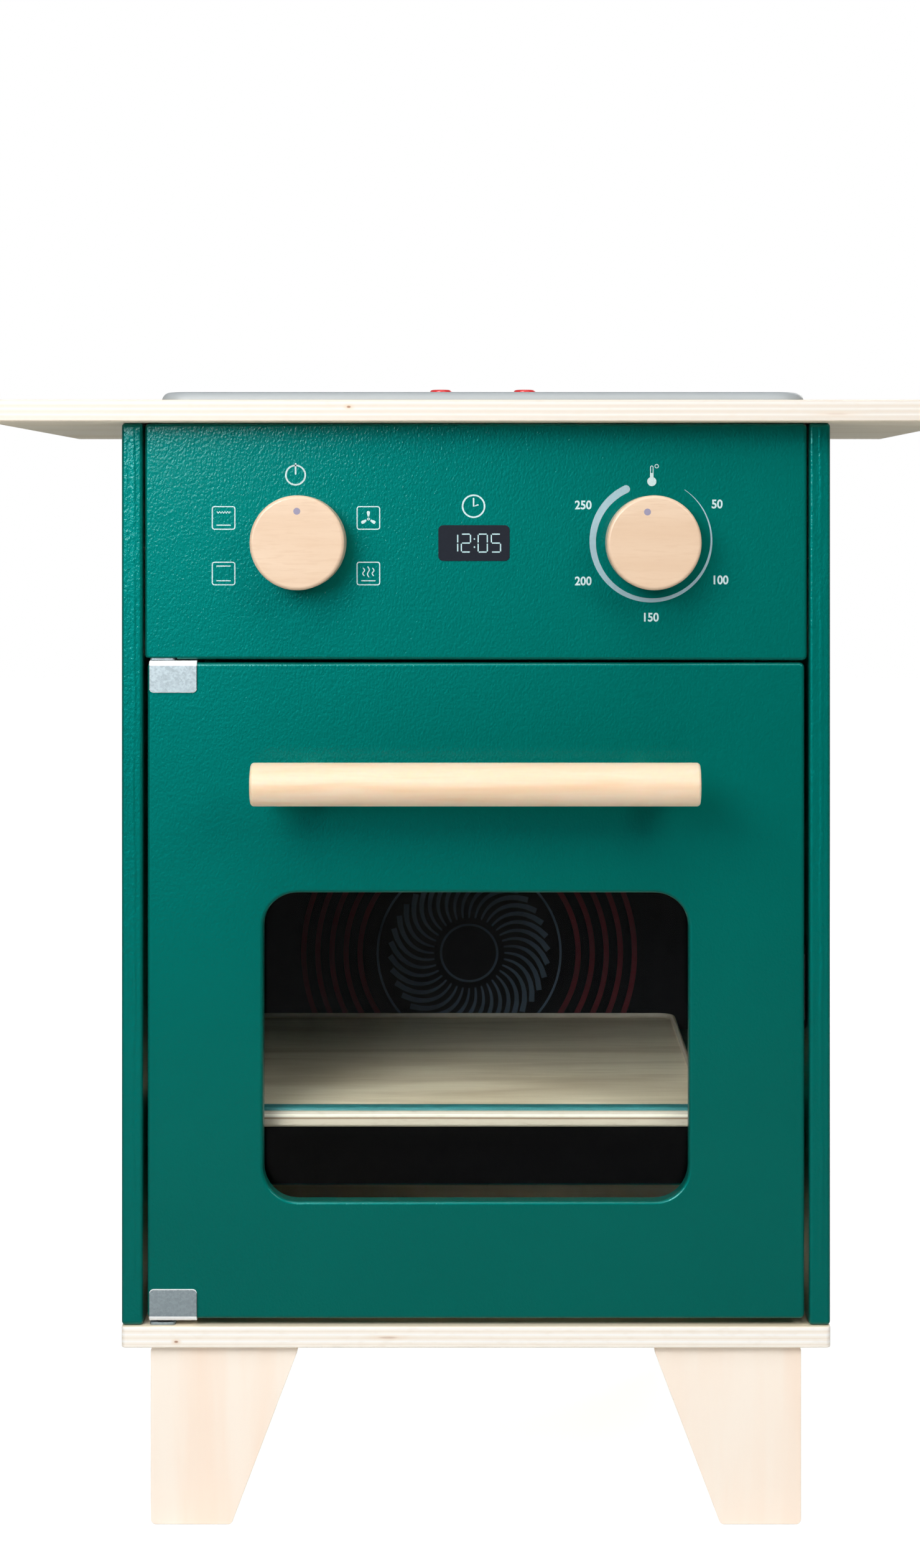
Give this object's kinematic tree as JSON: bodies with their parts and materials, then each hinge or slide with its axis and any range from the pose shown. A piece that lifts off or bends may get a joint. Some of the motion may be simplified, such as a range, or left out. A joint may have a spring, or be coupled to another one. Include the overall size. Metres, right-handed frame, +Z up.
{
  "type": "toy oven",
  "caption": "Free-standing play oven: wooden cabinet on tapered legs with a side-hung windowed door, bar handle, turning knobs, a tray and a hob plate with push buttons.",
  "frame": {"origin": "on the floor, under the centre of the whole oven with its handle and worktop", "axes": "+Z up, the front faces -Y, +X to the right as seen from the front"},
  "size_m": [0.457, 0.33, 0.5356],
  "materials": {
    "green_paint": "satin deep green paint over wood, slightly orange-peeled",
    "plywood": "pale birch plywood with visible plies, matt lacquer",
    "beech": "light beech, oiled, fine flecks",
    "pine": "pale solid wood with a straight grain, matt lacquer",
    "zinc": "zinc-plated sheet steel",
    "steel": "plain steel",
    "grey_plastic": "light grey moulded plastic, satin",
    "dark_plastic": "near-black moulded plastic",
    "red_plastic": "red moulded plastic",
    "circuit": "green circuit board",
    "acrylic": "clear acrylic sheet"
  },
  "bodies": {
    "cabinet": {"worktop": "plywood", "base_board": "plywood", "oven_tray": "plywood", "left_side_panel": "green_paint", "right_side_panel": "green_paint", "back_panel": "green_paint", "control_panel": "green_paint", "tray_ledge_left": "green_paint", "tray_ledge_right": "green_paint", "control_panel_cleat_left": "pine", "control_panel_cleat_right": "pine", "hob_housing": "grey_plastic", "hob_tub": "grey_plastic", "battery_cover": "grey_plastic", "hotplate_left": "dark_plastic", "hotplate_right": "dark_plastic", "circuit_board": "circuit", "button_spring_left": "steel", "button_spring_right": "steel", "magnet_catch": "dark_plastic", "catch_magnet": "steel", "upper_hinge_plate": "zinc", "lower_hinge_plate": "zinc", "upper_hinge_screw": "zinc", "lower_hinge_screw": "zinc", "lower_hinge_washer": "dark_plastic", "front_left_leg": "pine", "front_left_leg_bolt": "steel", "front_right_leg": "pine", "front_right_leg_bolt": "steel", "back_left_leg": "pine", "back_left_leg_bolt": "steel", "back_right_leg": "pine", "back_right_leg_bolt": "steel"},
    "door": {"door_panel": "green_paint", "window_pane": "acrylic", "pane_screw_1": "zinc", "pane_screw_2": "zinc", "pane_screw_3": "zinc", "pane_screw_4": "zinc", "handle_bar": "pine", "handle_spacer_left": "pine", "handle_spacer_right": "pine", "handle_bolt_left": "zinc", "handle_bolt_right": "zinc", "upper_hinge_clip": "zinc", "lower_hinge_clip": "zinc", "strike_plate": "zinc"},
    "selector": {"selector_knob": "beech", "selector_spindle": "steel", "selector_washer": "zinc", "selector_nut": "zinc"},
    "temperature": {"temperature_knob": "beech", "temperature_spindle": "steel", "temperature_washer": "zinc", "temperature_nut": "zinc"},
    "left_button": {"hob_button_left": "red_plastic"},
    "right_button": {"hob_button_right": "red_plastic"}
  },
  "joints": [
    {"name": "door_hinge", "type": "hinge", "parent": "cabinet", "child": "door", "pos_m": [-0.1468, -0.12, 0.25], "axis": [0, 0, -1], "range_deg": [0, 105]},
    {"name": "selector_turn", "type": "hinge", "parent": "cabinet", "child": "selector", "pos_m": [-0.0827, -0.125, 0.4618], "axis": [0, 1, 0], "continuous": true},
    {"name": "temperature_turn", "type": "hinge", "parent": "cabinet", "child": "temperature", "pos_m": [0.0827, -0.125, 0.4618], "axis": [0, 1, 0], "continuous": true},
    {"name": "left_button_push", "type": "slide", "parent": "cabinet", "child": "left_button", "axis": [0, 0, -1], "range_m": [0, 0.0012], "stiffness_N_per_m": 300, "deforming": ["button_spring_left"]},
    {"name": "right_button_push", "type": "slide", "parent": "cabinet", "child": "right_button", "axis": [0, 0, -1], "range_m": [0, 0.0012], "stiffness_N_per_m": 300, "deforming": ["button_spring_right"]}
  ]
}
